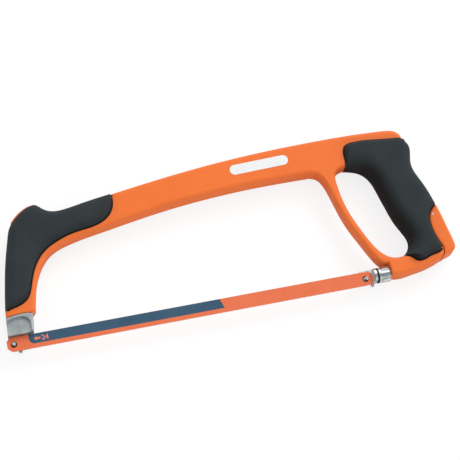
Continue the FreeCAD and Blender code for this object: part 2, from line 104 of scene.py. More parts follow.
# %% [markdown]
# ## Lamps
# A broad key light falls from behind the beam and from the handle's end, so
# the top edges are bright and the flanks toward the blade fall into shade.
# A weaker and softer one comes from the blade's side and opens that shade.
# Both are suns, because a sun lights a long saw evenly from end to end.  A
# small soft lamp beyond the beam adds a glint to the metal.

# %% Two suns and a window
def light(name, kind, toward, **settings):
    """A lamp that shines from the side that toward points to."""
    data = bpy.data.lights.new(name, kind)
    for key, value in settings.items():
        setattr(data, key, value)
    obj = bpy.data.objects.new(name, data)
    bpy.context.collection.objects.link(obj)
    obj.rotation_mode = "QUATERNION"
    obj.rotation_quaternion = Vector(toward).to_track_quat("Z", "Y")
    return obj


light("key", "SUN", (0.55, 0.55, 0.63), angle=math.radians(30), energy=1.12)
light("fill", "SUN", (0.45, -0.72, 0.42), angle=math.radians(50), energy=0.35)
WINDOW = (0.35, 1.1, 0.6)
light("window", "AREA", WINDOW, shape="DISK", size=0.5, energy=1.0).location = WINDOW

# %% [markdown]
# ## Wiring nodes
# The sky and every finish start from the same few nodes.  A small class
# keeps the code of each one down to what is special about it: add a node,
# set its values, wire it to the next.

# %% A little wiring kit
class Nodes:
    """Adds nodes to a tree and wires them in one line each."""

    def __init__(self, tree):
        self.tree = tree

    def add(self, kind, inputs=None, **settings):
        node = self.tree.nodes.new("ShaderNode" + kind)
        for key, value in settings.items():
            setattr(node, key, value)
        for key, value in (inputs or {}).items():
            self.set(node.inputs[key], value)
        return node

    def set(self, socket, value):
        if isinstance(value, bpy.types.NodeSocket):
            self.tree.links.new(value, socket)
        else:
            socket.default_value = value

    def math(self, operation, a, b=0.0, c=0.0):
        node = self.add("Math", operation=operation)
        for socket, value in zip(node.inputs, (a, b, c)):
            self.set(socket, value)
        return node.outputs[0]

    def product(self, first, *others):
        for value in others:
            first = self.math("MULTIPLY", first, value)
        return first

    def mix(self, share, a, b):
        """Colour a where share is 0, colour b where it is 1."""
        node = self.add("Mix", data_type="RGBA")
        self.set(node.inputs["Factor"], share)
        self.set(node.inputs["A"], a)
        self.set(node.inputs["B"], b)
        return node.outputs["Result"]

    def span(self, value, low, high, new_low=0.0, new_high=1.0):
        """The value from low to high, stretched to new_low to new_high."""
        return self.add("MapRange", clamp=True, inputs={
            "Value": value, "From Min": low, "From Max": high,
            "To Min": new_low, "To Max": new_high,
        }).outputs["Result"]

    def part_of(self, vector, axis):
        return self.add("SeparateXYZ", inputs={0: vector}).outputs[axis]

    def object_place(self):
        return self.add("TexCoord").outputs["Object"]


print("wiring kit ready")

# %% [markdown]
# ## Sky
# An even sky fills the shadows.  Polished metal sees a sky with a bright and
# a dull side, because metal in an even white room looks like plastic, and
# the camera sees plain white.  The light path tells the three apart.

# %% Three skies in one
SKY_FOR_SHADING = 0.70
WHITE = (1, 1, 1, 1)
DULL_SIDE, BRIGHT_SIDE = (0.25, 0.26, 0.27, 1), WHITE

world = bpy.data.worlds.new("sky")
bpy.context.scene.world = world
world.use_nodes = True
world.node_tree.nodes.clear()
kit = Nodes(world.node_tree)
ray = kit.add("LightPath")
side = kit.part_of(kit.add("TexCoord").outputs["Generated"], "Y")
ramp = kit.add("ValToRGB", inputs={0: kit.math("MULTIPLY_ADD", side, 0.5, 0.5)})
for stop, position, colour in zip(ramp.color_ramp.elements, (0.45, 0.95), (DULL_SIDE, BRIGHT_SIDE)):
    stop.position = position
    stop.color = colour
shading = kit.add("Background", inputs={"Color": WHITE, "Strength": SKY_FOR_SHADING})
mirrored = kit.add("Background", inputs={"Color": ramp.outputs["Color"]})
seen = kit.add("Background", inputs={"Color": WHITE})
mirror_or_not = kit.add("MixShader", inputs={
    0: ray.outputs["Is Glossy Ray"], 1: shading.outputs[0], 2: mirrored.outputs[0]})
seen_or_not = kit.add("MixShader", inputs={
    0: ray.outputs["Is Camera Ray"], 1: mirror_or_not.outputs[0], 2: seen.outputs[0]})
kit.add("OutputWorld", inputs={0: seen_or_not.outputs[0]})
print("the sky has", len(world.node_tree.nodes), "nodes")

# %% [markdown]
# ## Helpers for finishes
# A finish is one Principled shader with a colour, a roughness and a bump.
# What several finishes share is a node group with its own inputs and
# outputs, and each material places it with its own values.

# %% Colours, groups and materials
def srgb(r, g, b):
    """A colour chosen on screen, 0 to 255, as the linear colour that shaders use."""
    shares = [v / 255.0 for v in (r, g, b)]
    return (*(v / 12.92 if v <= 0.04045 else ((v + 0.055) / 1.055) ** 2.4 for v in shares), 1.0)


def effect(name, inputs, outputs):
    """An empty node group with named inputs and outputs."""
    tree = bpy.data.node_groups.new(name, "ShaderNodeTree")
    for key, value in inputs.items():
        socket = tree.interface.new_socket(key, in_out="INPUT", socket_type="NodeSocketFloat")
        socket.default_value = value
    for key in outputs:
        tree.interface.new_socket(key, in_out="OUTPUT", socket_type="NodeSocketFloat")
    nodes_in = tree.nodes.new("NodeGroupInput")
    nodes_out = tree.nodes.new("NodeGroupOutput")
    return Nodes(tree), nodes_in.outputs, nodes_out.inputs


def use(kit, tree, **inputs):
    """Place an effect in a material with its own values."""
    node = kit.add("Group")
    node.node_tree = tree
    for key, value in inputs.items():
        kit.set(node.inputs[key.replace("_", " ")], value)
    return node.outputs


def finish_material(name, **constants):
    """A material with one Principled shader; constants go straight on its sockets."""
    mat = bpy.data.materials.new(name)
    mat.use_nodes = True
    shader = mat.node_tree.nodes["Principled BSDF"]
    for key, value in constants.items():
        socket = key.replace("_", " ").title().replace("Ior", "IOR")
        shader.inputs[socket].default_value = value
    return mat, Nodes(mat.node_tree), shader.inputs


def coat(kit, shader, colour, rough, height, strength, reach):
    """Wire a colour, a roughness and a bump that reaches so many millimetres."""
    kit.set(shader["Base Color"], colour)
    kit.set(shader["Roughness"], rough)
    bump = kit.add("Bump", inputs={"Strength": strength, "Distance": reach * MM, "Height": height})
    kit.set(shader["Normal"], bump.outputs["Normal"])


print("helpers for finishes ready")

# %% [markdown]
# ## Effect: mottle
# No sprayed, cast or moulded surface is one flat colour.  Two sizes of noise,
# one broad and one fine, are mixed into a mask.  It is a group because every
# finish here uses it, each with its own sizes.

# %% Build the mottle group
kit, given, result = effect("mottle", {"Broad": 30.0, "Fine": 600.0, "Fine Share": 0.4},
                            ["Mask", "Height"])
where = kit.object_place()
broad, fine = (kit.add("TexNoise", inputs={"Vector": where, "Scale": given[size],
                                           "Detail": detail}).outputs["Fac"]
               for size, detail in (("Broad", 3.0), ("Fine", 2.0)))
blend = kit.add("Mix", data_type="FLOAT", inputs={
    "Factor": given["Fine Share"], "A": broad, "B": fine}).outputs["Result"]
kit.set(result["Mask"], kit.span(blend, 0.32, 0.68))
kit.set(result["Height"], fine)
mottle = kit.tree
print("group", mottle.name, "has", len(mottle.nodes), "nodes")

# %% [markdown]
# ## Effect: edge wear and painted highlight
# Corners are paler, partly as wear and partly as a painted highlight.
# Rounding the normal a little and comparing it with the true one finds the
# corners of any mesh, without painting a mask by hand; noise then breaks the
# line up.

# %% Build the edge wear and painted highlight group
kit, given, result = effect("edge_wear_and_highlight", {"Width": 0.0006, "Break Up": 250.0}, ["Mask"])
agree = kit.add("VectorMath", operation="DOT_PRODUCT", inputs={
    0: kit.add("Bevel", inputs={"Radius": given["Width"]}, samples=4).outputs["Normal"],
    1: kit.add("NewGeometry").outputs["Normal"],
})
corner = kit.span(agree.outputs["Value"], 0.995, 0.90)
patches = kit.add("TexNoise", inputs={"Vector": kit.object_place(), "Scale": given["Break Up"],
                                      "Detail": 4.0}).outputs["Fac"]
kit.set(result["Mask"], kit.product(corner, kit.span(patches, 0.42, 0.62)))
edge_wear_and_highlight = kit.tree
print("group", edge_wear_and_highlight.name, "has", len(edge_wear_and_highlight.nodes), "nodes")

# %% [markdown]
# ## Finish: orange powder coat
# The frame and the lever are cast light metal under a baked powder coat:
# satin, with a faint orange-peel ripple, and a shade paler on the edges,
# partly where the coat thins and partly as a painted highlight.

# %% Orange coat
def orange_coat():
    mat, kit, shader = finish_material("orange_coat", specular_ior_level=0.25)
    tone = use(kit, mottle, Broad=22.0, Fine=420.0)
    wear_and_highlight = use(kit, edge_wear_and_highlight, Width=0.0009)
    peel = use(kit, mottle, Broad=900.0, Fine=2600.0, Fine_Share=0.3)
    colour = kit.mix(tone["Mask"], srgb(241, 115, 46), srgb(247, 122, 52))
    # paler edges: partly wear, partly painted highlight
    colour = kit.mix(kit.product(wear_and_highlight["Mask"], 0.45), colour, srgb(250, 142, 82))
    coat(kit, shader, colour, kit.span(tone["Mask"], 0, 1, 0.40, 0.50), peel["Mask"], 0.10, 0.08)
    return mat


ORANGE = orange_coat()
print("made", ORANGE.name)

# %% [markdown]
# ## Finish: charcoal rubber
# The grips are moulded from soft rubber whose mould was etched: seen close,
# the surface is a fine cross-hatch, like cloth.  Two crossed waves make the
# hatch, and noise stops it from looking printed.  The side of the handle
# that the fingers hold gets painted shade: a mask made from the way the
# surface faces darkens it there and nowhere else.

# %% Dark rubber
TO_FINGERS = (-0.85, -0.45)       # the way the fingers' side faces, in x and y
HANDLE_BEGINS = (0.09, 0.11)      # where the mask fades in along the saw, m
BELOW_THE_BEAM = (0.046, 0.034)   # and down the handle, m


def painted_shade_fingers_side(kit, where):
    """Painted shade mask: 1 on the surface of the handle that turns to the fingers, else 0."""
    normal = kit.add("SeparateXYZ", inputs={0: kit.add("NewGeometry").outputs["Normal"]}).outputs
    facing = kit.math("MULTIPLY_ADD", normal["X"], TO_FINGERS[0],
                      kit.product(normal["Y"], TO_FINGERS[1]))
    spot = kit.add("SeparateXYZ", inputs={0: where}).outputs
    return kit.product(kit.span(facing, 0.18, 0.62), kit.span(spot["X"], *HANDLE_BEGINS),
                       kit.span(spot["Y"], *BELOW_THE_BEAM))


def dark_rubber():
    mat, kit, shader = finish_material("dark_rubber", specular_ior_level=0.32)
    where = kit.object_place()
    hatch = []
    for turn in (0.25, 1.85):
        spin = kit.add("Mapping", inputs={"Vector": where, "Rotation": (0.0, 0.0, turn)}).outputs[0]
        wave = kit.add("TexWave", bands_direction="Y", inputs={
            "Vector": spin, "Scale": 260.0, "Distortion": 1.4, "Detail": 2.0, "Detail Scale": 3.0})
        hatch.append(wave.outputs["Fac"])
    weave = kit.product(*hatch)
    tone = use(kit, mottle, Broad=45.0, Fine=900.0)
    colour = kit.mix(tone["Mask"], srgb(35, 42, 45), srgb(45, 53, 56))
    colour = kit.mix(kit.product(weave, 0.5), colour, srgb(55, 64, 67))
    # painted shade on the side of the handle that faces the fingers
    colour = kit.mix(kit.product(painted_shade_fingers_side(kit, where), 0.8), colour, srgb(20, 21, 20))
    height = kit.math("MULTIPLY_ADD", tone["Height"], 0.6, weave)
    coat(kit, shader, colour, kit.span(weave, 0, 1, 0.86, 0.66), height, 0.35, 0.12)
    return mat


RUBBER = dark_rubber()
print("made", RUBBER.name)

# %% [markdown]
# ## Finish: metals
# Three bare metals sit next to each other, and they have to read apart:
# grainy cast zinc on the front block, turned and plated steel on the holder
# and the nut, and hard bright steel on the pins.  Roughness and the scale of
# the grain do most of that work.

# %% Cast zinc, plated steel and hard pins
def cast_zinc():
    mat, kit, shader = finish_material("cast_zinc", metallic=0.85)
    tone = use(kit, mottle, Broad=120.0, Fine=700.0, Fine_Share=0.5)
    wear_and_highlight = use(kit, edge_wear_and_highlight, Width=0.0008)
    colour = kit.mix(tone["Mask"], srgb(160, 168, 170), srgb(192, 199, 200))
    # near-white edges: partly wear, partly painted highlight
    colour = kit.mix(wear_and_highlight["Mask"], colour, srgb(242, 244, 243))
    coat(kit, shader, colour, kit.span(tone["Mask"], 0, 1, 0.34, 0.56), tone["Height"], 0.5, 0.06)
    return mat


def plated_steel():
    mat, kit, shader = finish_material("plated_steel", metallic=0.95)
    lathe = kit.add("TexWave", bands_direction="X", inputs={
        "Vector": kit.object_place(), "Scale": 900.0, "Distortion": 0.6}).outputs["Fac"]
    tone = use(kit, mottle, Broad=160.0, Fine=1200.0)
    wear_and_highlight = use(kit, edge_wear_and_highlight, Width=0.0005)
    colour = kit.mix(tone["Mask"], srgb(206, 212, 214), srgb(232, 236, 236))
    # brighter edges: partly wear, partly painted highlight
    colour = kit.mix(wear_and_highlight["Mask"], colour, srgb(236, 238, 238))
    coat(kit, shader, colour, kit.span(tone["Mask"], 0, 1, 0.24, 0.40), lathe, 0.25, 0.03)
    return mat


def hard_pin():
    mat, kit, shader = finish_material("hard_pin", metallic=1.0)
    tone = use(kit, mottle, Broad=400.0, Fine=2400.0)
    colour = kit.mix(tone["Mask"], srgb(205, 208, 208), srgb(238, 240, 240))
    coat(kit, shader, colour, kit.span(tone["Mask"], 0, 1, 0.14, 0.26), tone["Height"], 0.15, 0.02)
    return mat


ZINC, PLATED, PIN = cast_zinc(), plated_steel(), hard_pin()
print("made", [m.name for m in (ZINC, PLATED, PIN)])

# %% [markdown]
# ## Finish: the painted blade
# The blade is dipped in salmon-orange paint, and a slate-blue band is printed
# over the upper part of one side, from just behind the front pin to past the
# middle, with a rounded front corner and a slanted rear end.  The band is a
# mask made from the place on the blade, so it stays sharp at any distance.
# The teeth are ground after painting, so their tips show steel.

# %% Blade paint
BAND_START, BAND_END, BAND_FOOT, CORNER = 12.6, 176.0, -2.2, 4.5
BAND_SLANT = 0.32              # how far its rear end leans, for each mm of height
BLUR = 0.06                    # softness of its edge, mm
GROUND_TEETH = (-5.85, -6.15)  # where the paint ends and bare steel begins


def blue_band(kit, x, y, facing):
    """1 inside the printed band, on the side of the blade that faces up."""
    short_of = [kit.math("MAXIMUM", kit.math("SUBTRACT", edge + CORNER, value), 0.0)
                for edge, value in ((BAND_START, x), (BAND_FOOT, y))]
    squares = [kit.product(gap, gap) for gap in short_of]
    from_corner = kit.math("SQRT", kit.math("ADD", *squares))
    start = kit.span(from_corner, CORNER + BLUR, CORNER - BLUR)
    slanted = kit.math("MULTIPLY_ADD", y, BAND_SLANT, x)
    end = kit.span(slanted, BAND_END + BLUR, BAND_END - BLUR)
    return kit.product(start, end, kit.span(facing, 0.5, 0.6))


def blade_paint():
    mat, kit, shader = finish_material("blade_steel", specular_ior_level=0.25)
    facing = kit.part_of(kit.add("NewGeometry").outputs["Normal"], "Z")
    spot = kit.add("SeparateXYZ", inputs={0: kit.object_place()}).outputs
    x = kit.math("SUBTRACT", kit.math("DIVIDE", spot["X"], MM), ORIGIN.x)
    y = kit.math("SUBTRACT", kit.math("DIVIDE", spot["Y"], MM), ORIGIN.y)
    tone = use(kit, mottle, Broad=60.0, Fine=900.0)
    salmon = kit.mix(tone["Mask"], srgb(232, 114, 73), srgb(238, 122, 79))
    blue = kit.mix(tone["Mask"], srgb(50, 83, 108), srgb(60, 94, 117))
    painted = kit.mix(blue_band(kit, x, y, facing), salmon, blue)
    ground = kit.product(kit.span(y, *GROUND_TEETH), kit.span(tone["Height"], 0.35, 0.6))
    colour = kit.mix(ground, painted, srgb(150, 142, 138))
    kit.set(shader["Metallic"], kit.product(ground, 0.8))
    coat(kit, shader, colour, kit.span(tone["Mask"], 0, 1, 0.34, 0.46), tone["Height"], 0.12, 0.03)
    return mat


BLADE = blade_paint()
print("made", BLADE.name)

# %% [markdown]
# ## Finish: label, ring, painted shadow and printing
# The label on the beam is a bare white enamel plate.  The friction ring is
# black nylon, and the black of the seams, the joint and the holes' edges is
# painted shadow.  The blade's printing is a thin coat of the same salmon paint.

# %% Small finishes
def plain(name, low, high, rough, grain, **constants):
    """A finish that is mottled between two colours and two roughnesses."""
    mat, kit, shader = finish_material(name, **constants)
    tone = use(kit, mottle, Broad=90.0, Fine=grain)
    colour = kit.mix(tone["Mask"], srgb(*low), srgb(*high))
    coat(kit, shader, colour, kit.span(tone["Mask"], 0, 1, rough, rough + 0.12), tone["Height"],
         0.12, 0.03)
    return mat


LABEL = plain("white_label", (237, 241, 240), (244, 247, 245), 0.4, 900.0, specular_ior_level=0.3)
RING = plain("black_ring", (22, 23, 25), (36, 37, 39), 0.45, 1500.0)
# painted shadow, for the seams, the joint and the edges of the blade holes
PAINTED_SHADOW = plain("painted_shadow_black", (10, 11, 11), (17, 18, 18), 0.7, 900.0)
PRINT = plain("print_salmon", (226, 120, 98), (238, 136, 112), 0.4, 1100.0)
print("made", [m.name for m in (LABEL, RING, PAINTED_SHADOW, PRINT)])

# %% [markdown]
# ## Dress the solids
# Solids whose form is already right keep it and only take a finish.

# %% Hand out the finishes
FINISHES = {
    "tension_lever": ORANGE, "label_plate": LABEL, "saw_blade": BLADE, "front_blade_anchor": ZINC,
    "rear_blade_holder": PLATED, "tension_nut": PLATED, "draw_bar": PLATED, "nose_bush": PLATED,
    "catch_clip": PLATED, "friction_ring": RING, "nut_snap_ring": RING,
    "front_blade_pin": PIN, "rear_blade_pin": PIN, "front_spare_pin": PIN, "rear_spare_pin": PIN,
    "lever_pivot_pin": PIN, "lever_catch_pin": PIN, "anchor_cross_pin": PIN,
}
for node, mat in FINISHES.items():
    mesh = nodes[node].data
    mesh.materials.clear()
    mesh.materials.append(mat)
print(len(FINISHES), "solids have their finish")

# %% [markdown]
# ## Smooth lines
# The rubber was drawn with French curves, so its outline is a smooth line
# through a few points.  A natural cubic spline through those points gives
# the same line, and it takes only a small linear system to solve.

# %% Spline through a few points
def smooth(points, step=1.0):
    """Evenly spaced points along the natural cubic spline through a few points."""
    p = np.array(points, float)
    t = np.concatenate([[0], np.cumsum(np.linalg.norm(np.diff(p, axis=0), axis=1))])
    n, h = len(p), np.diff(t)
    lhs, rhs = np.eye(n), np.zeros((n, 2))
    for i in range(1, n - 1):
        lhs[i, i - 1:i + 2] = h[i - 1], 2 * (h[i - 1] + h[i]), h[i]
        rhs[i] = 6 * ((p[i + 1] - p[i]) / h[i] - (p[i] - p[i - 1]) / h[i - 1])
    m = np.linalg.solve(lhs, rhs)
    count = max(2, int(round(t[-1] / step)))
    s = np.linspace(0, t[-1], count + 1)
    k = np.clip(np.searchsorted(t, s, "right") - 1, 0, n - 2)
    a = ((t[k + 1] - s) / h[k])[:, None]
    b = ((s - t[k]) / h[k])[:, None]
    w = (h[k] ** 2 / 6)[:, None]
    return a * p[k] + b * p[k + 1] + ((a ** 3 - a) * m[k] + (b ** 3 - b) * m[k + 1]) * w


def run(a, b):
    """A straight side."""
    return smooth([a, b])


def chain(*sides):
    """Sides that follow each other, as one line."""
    return np.vstack([side[:-1] for side in sides[:-1]] + [sides[-1]])


print("a spline through 3 points has", len(smooth([(0, 0), (5, 1), (10, 0)])), "steps")

# %% [markdown]
# ## Outlines of the grips
# Each side of a grip either wraps round to the far face, or butts on the
# frame.  The two kinds are kept apart, because their edges roll differently.

# %% Sides of the pad and of the handle grip
PAD_WRAP = smooth([
    (102.5, 115.4), (88, 113.3), (73, 110.7), (59.5, 108.5), (51.2, 108.7), (44, 112.3),
    (38, 117.0), (30.6, 115.8), (19.0, 107.8), (12.8, 99.7), (9.8, 90.4), (6.8, 79),
    (3.6, 65), (0.9, 50), (-1.2, 37), (-2.5, 27.2)])
PAD_BUTT = smooth([
    (-2.5, 27.2), (4, 29.0), (11, 31.0), (17.2, 35.2), (20.6, 41.5), (24.3, 53), (29.6, 64.2),
    (39.2, 74.9), (51, 81.4), (66, 86.2), (86, 89.6), (97, 96.1), (101.4, 104), (102.5, 115.4)])
GRIP_TOP = smooth([
    (308.2, 101.9), (309.4, 108), (309.7, 115), (312, 120.5), (319, 122.7), (338, 122),
    (356, 120.1), (362.6, 119.0), (366.6, 116.4)])
GRIP_PALM = smooth([
    (366.6, 116.4), (368.6, 112), (368.1, 105), (366.2, 97), (366.2, 89.5), (369.9, 78),
    (374.1, 65), (376.7, 54.0)])
GRIP_SEAM = smooth([
    (376.7, 54.0), (372.1, 50.5), (368.4, 45.5), (366.6, 38.7), (366.7, 31.5),
    (367.7, 25), (369.3, 18.8), (370.6, 12.4)])
GRIP_FOOT = smooth([
    (370.6, 12.4), (369.4, 11.2), (360, 8.5), (351, 5.6), (347, 6.2), (342.5, 10.4),
    (336.5, 12.5)])
GRIP_FINGERS = smooth([
    (336.5, 12.5), (343, 19.2), (345.4, 26), (342.5, 37), (338, 48), (334.5, 62),
    (331.5, 75), (328.6, 86.5), (322, 96.5), (308.2, 101.9)])
PAD = [PAD_WRAP, PAD_BUTT]
GRIP = [GRIP_TOP, GRIP_PALM, GRIP_SEAM, GRIP_FOOT, GRIP_FINGERS]
print("outline points:", [sum(len(side) for side in sides) for sides in (PAD, GRIP)])

# %% [markdown]
# ## Moulded skins
# A moulded grip is fullest in its middle and rolls over to its edges: where
# it wraps round the arm the roll is wide, and where it meets the painted
# face it is a short, steep shoulder.  The height of each point of the
# surface is worked out from its distance to the sides.  That gives one clean
# skin with an exact outline, which sculpting or a bevel would not.

# %% Distances and rolls
def distance_to(points, line):
    """Distance from each point to a line of short straight runs."""
    a, b = line[:-1], line[1:]
    along = b - a
    gap = points[:, None, :] - a[None]
    t = np.clip((gap * along).sum(2) / (along ** 2).sum(1), 0, 1)
    return np.linalg.norm(gap - t[:, :, None] * along, axis=2).min(1)


def roll(distance, reach, low, high, fullness):
    """Height of a rolled edge: low at the edge, high from reach onward."""
    t = 1 - np.clip(distance / reach, 0, 1)
    return low + (high - low) * (1 - t ** fullness) ** (1 / fullness)


print("a roll over 4 mm:", np.round(roll(np.arange(0, 5.0), 4.0, 2.0, 8.0, 2.0), 1), "mm high")

# %% [markdown]
# ## From an outline to a flat net
# The outline is filled with triangles.  Rows of points follow each edge just
# inside it, because the roll bends there, and a plain grid fills the rest.

# %% Net builder
GRID_GAP = 0.7      # free room between the innermost row and the grid, mm
OTHER_EDGE = 0.8    # a row stays this far from the edge of the hole, mm
ROW_SPACE = 0.93    # share of its depth that a row keeps from a bent edge
GRID_RISE = 0.87    # height of a grid row, for triangles with even sides
MERGE = 1e-5


def closed(ring):
    """The ring with its first point again at its end."""
    return np.vstack([ring, ring[:1]])


def inside(points, ring):
    """Which points lie inside a closed ring."""
    x, y = points[:, 0][:, None], points[:, 1][:, None]
    a, b = ring, np.roll(ring, -1, axis=0)
    spans = (a[:, 1] > y) != (b[:, 1] > y)
    cross = (b[:, 0] - a[:, 0]) * (y - a[:, 1]) / (b[:, 1] - a[:, 1] + 1e-12) + a[:, 0]
    return (spans & (x < cross)).sum(1) % 2 == 1


def inward_rows(ring, keep, depths):
    """Rows of points just inside an edge, so that its roll is well shaped."""
    along = np.roll(ring, -1, axis=0) - np.roll(ring, 1, axis=0)
    normal = np.stack([-along[:, 1], along[:, 0]], 1)
    normal /= np.linalg.norm(normal, axis=1)[:, None]
    if not keep(ring[3:4] + normal[3:4] * 0.4)[0]:
        normal = -normal
    for depth in depths:
        row = ring + normal * depth
        yield row[keep(row) & (distance_to(row, closed(ring)) > depth * ROW_SPACE)]


def flat_net(rings, pitch, depths):
    """Points and triangles that fill the first ring and leave the others open."""
    def keep(points):
        good = inside(points, rings[0])
        for hole in rings[1:]:
            good &= ~inside(points, hole)
        return good

    low, high = rings[0].min(0), rings[0].max(0)
    grid = np.array([(x + (j % 2) * pitch / 2, y)
                     for j, y in enumerate(np.arange(low[1], high[1], pitch * GRID_RISE))
                     for x in np.arange(low[0], high[0], pitch)])
    grid = grid[keep(grid)]
    rows, loops, start = [], [], 0
    for ring in rings:
        grid = grid[distance_to(grid, closed(ring)) > depths[-1] + GRID_GAP]
        loops += [(start + i, start + (i + 1) % len(ring)) for i in range(len(ring))]
        start += len(ring)
        for row in inward_rows(ring, keep, depths):
            for other in rings:
                if other is not ring:
                    row = row[distance_to(row, closed(other)) > OTHER_EDGE]
            rows.append(row)
    flat = np.vstack([*rings, *rows, grid])
    made = geometry.delaunay_2d_cdt([Vector(p) for p in flat], loops, [], 0, MERGE)
    points = np.array([tuple(v) for v in made[0]])
    middles = np.array([points[list(f)].mean(0) for f in made[2]])
    return points, [tuple(f) for f, good in zip(made[2], keep(middles)) if good]


square = np.array([(0, 0), (9, 0), (9, 9), (0, 9)], float)
print("a net on a small square has", len(flat_net([square], 3.0, (0.5,))[1]), "triangles")

# %% [markdown]
# ## From a net to a solid skin
# The net is lifted to both faces, and a wall closes every open side of it.

# %% Skin builder
def add_mesh(name, verts, faces, finish=None):
    """A new piece in the scene, from its points and faces."""
    mesh = bpy.data.meshes.new(name)
    mesh.from_pydata(verts, [], faces)
    if finish:
        mesh.materials.append(finish)
    obj = bpy.data.objects.new(name, mesh)
    bpy.context.collection.objects.link(obj)
    return obj


def drop_loose_points(mesh):
    loose = bmesh.new()
    loose.from_mesh(mesh)
    alone = [v for v in loose.verts if not v.link_faces]
    bmesh.ops.delete(loose, geom=alone, context="VERTS")
    loose.to_mesh(mesh)
    loose.free()


def moulded(name, sides, height, finish, hole=None, pitch=1.3, depths=(0.25, 0.6, 1.1, 1.8)):
    """A casting or grip from its sides; height gives half the thickness at each point."""
    rings = [np.vstack([side[:-1] for side in sides])]
    if hole is not None:
        rings.append(hole[:-1])
    points, faces = flat_net(rings, pitch, depths)
    half, count = height(points), len(points)
    verts = [at(x, y, face * h) for face in (1, -1) for (x, y), h in zip(points, half)]
    edges = [(f[i], f[(i + 1) % 3]) for f in faces for i in range(3)]
    both_ways = set(edges)
    skin = faces + [tuple(i + count for i in reversed(f)) for f in faces]
    skin += [(b, a, a + count, b + count) for a, b in edges if (b, a) not in both_ways]
    obj = add_mesh(name, verts, skin, finish)
    drop_loose_points(obj.data)
    obj.data.shade_smooth()
    obj.data.set_sharp_from_angle(angle=math.radians(60))
    print(name, "has", len(obj.data.polygons), "faces")
    return obj


def dressed(obj, body, node):
    """Ride on a body and stand for a solid, which is hidden."""
    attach(obj, body)
    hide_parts(node)
    return obj


# %% [markdown]
# ## Frame casting
# The real frame is die-cast: its face is flat only along the middle, and it
# rolls over to every edge, widely along the beam and more tightly along the
# knuckle guard and the lower bar.  The solid has a plain edge radius, so the
# skin takes nearly the same outline and gives each side its own roll.

# %% Outline of the casting
NOSE = 322.4          # the flat face behind the crown nut
NECK_RADIUS = 11.1    # round the lever's hub
NECK_ANGLES = (-31, 12)


def arc(radius):
    """The end of the lower bar: part of a circle about the lever's pivot."""
    turn = np.radians(np.linspace(*NECK_ANGLES, 14))
    return np.stack([PIVOT.x + radius * np.cos(turn), PIVOT.y + radius * np.sin(turn)], 1)


END = arc(NECK_RADIUS)
THROAT = smooth([
    (22.3, 25.6), (23.6, 33), (27.0, 47.5), (33.4, 61.8), (44, 73.6), (60, 80.3), (90, 86.4),
    (130, 93.4), (180, 99.6), (228, 102.3), (277, 102.5)])
GUARD = smooth([
    (277, 102.5), (282, 100.6), (286.3, 94.5), (289.5, 83.5), (292.3, 70), (297.5, 50.5),
    (304.5, 33.5), (312.6, 15.6), (317.2, 9.9), (NOSE, 8.5)])
NOSE_FACE = run((NOSE, 8.5), (NOSE, -2.4))
BAR = smooth([(NOSE, -2.4), (328.3, -3.3), (340, -2.1), (355.3, 0.6), tuple(END[0])])
COLUMN = smooth([
    tuple(END[-1]), (366.5, 20), (363.5, 28), (362.8, 36), (364.2, 44), (367.5, 52),
    (368, 60), (366, 72), (361.5, 86), (360, 98), (360, 110), (364.4, 115)])
BEAM_END = smooth([(364.4, 115), (364.2, 121), (362, 126), (358, 128.8), (352, 130.2)])
BEAM_TOP = smooth([
    (352, 130.2), (318.5, 131.5), (278.5, 131.2), (238.5, 129.8), (198.5, 127.0),
    (148.5, 121.4), (103, 114.8)])
SEAT = chain(
    run((103, 114.8), (103, 111.8)),
    smooth([(103, 111.8), (88, 109.2), (73, 106.5), (59.5, 104.4), (51.5, 104.6),
            (44.4, 108.2), (37.8, 113.2)]))
CREST = smooth([
    (37.8, 113.2), (37.2, 116.4), (35.4, 117.4), (28.2, 115.9), (21.8, 111.9), (17.4, 107.8),
    (15.0, 104.0), (15.8, 101.5)])
FRONT_SEAT = chain(
    smooth([(15.8, 101.5), (12.4, 90), (9.5, 79), (6.3, 65), (3.8, 50), (1.9, 33.4)]),
    run((1.9, 33.4), (-1.9, 32.6)))
SHIN = smooth([(-1.9, 32.6), (-2.4, 27), (-2.8, 22)])
FOOT = chain(smooth([(-2.8, 22.0), (4, 23.0), (11, 23.4), (19.4, 22.7)]),
             run((19.4, 22.7), (22.3, 25.6)))
FINGER_HOLE = smooth([
    (296.4, 90.5), (298.4, 98.6), (303, 102.2), (309, 103.4), (316, 104.6), (327, 102.5),
    (335, 93), (337.5, 80), (340.5, 63), (345, 47), (350, 33), (351, 24), (346, 15.8),
    (337, 12.4), (328, 12.4), (320.3, 16.8), (312, 29.2), (305.8, 44), (301.0, 58),
    (297.5, 75), (296.4, 90.5)])
print("the finger hole has", len(FINGER_HOLE), "points round it")

# %% [markdown]
# ## Rolls of the casting
# Each side in turn, with how far its roll reaches in, half the thickness at
# its edge, and how full the roll is: 2 is an ellipse, nearer 1 is a flat
# chamfer.  The crest of the bend and the shin, where the pad wraps round,
# roll more widely and end thinner.

# %% Cast the frame
FACE = 8.0    # half the thickness of the casting
SIDES = [
    (THROAT, 2.6, 5.8, 2.0), (GUARD, 1.7, 6.3, 2.3), (NOSE_FACE, 1.2, 6.9, 2.0),
    (BAR, 2.0, 6.4, 1.6), (END, 0.7, 7.3, 2.0), (COLUMN, 2.0, 6.0, 2.0),
    (BEAM_END, 3.2, 5.0, 2.1), (BEAM_TOP, 3.0, 5.4, 2.1), (SEAT, 2.0, 6.0, 2.0),
    (CREST, 4.0, 3.6, 2.1), (FRONT_SEAT, 2.0, 6.0, 2.0), (SHIN, 4.0, 3.6, 2.1),
    (FOOT, 1.3, 7.0, 2.0),
]
ROLLS = SIDES + [(FINGER_HOLE, 2.4, 5.4, 2.0)]


def casting_height(p):
    return np.minimum.reduce([roll(distance_to(p, side), reach, low, FACE, fullness)
                              for side, reach, low, fullness in ROLLS])


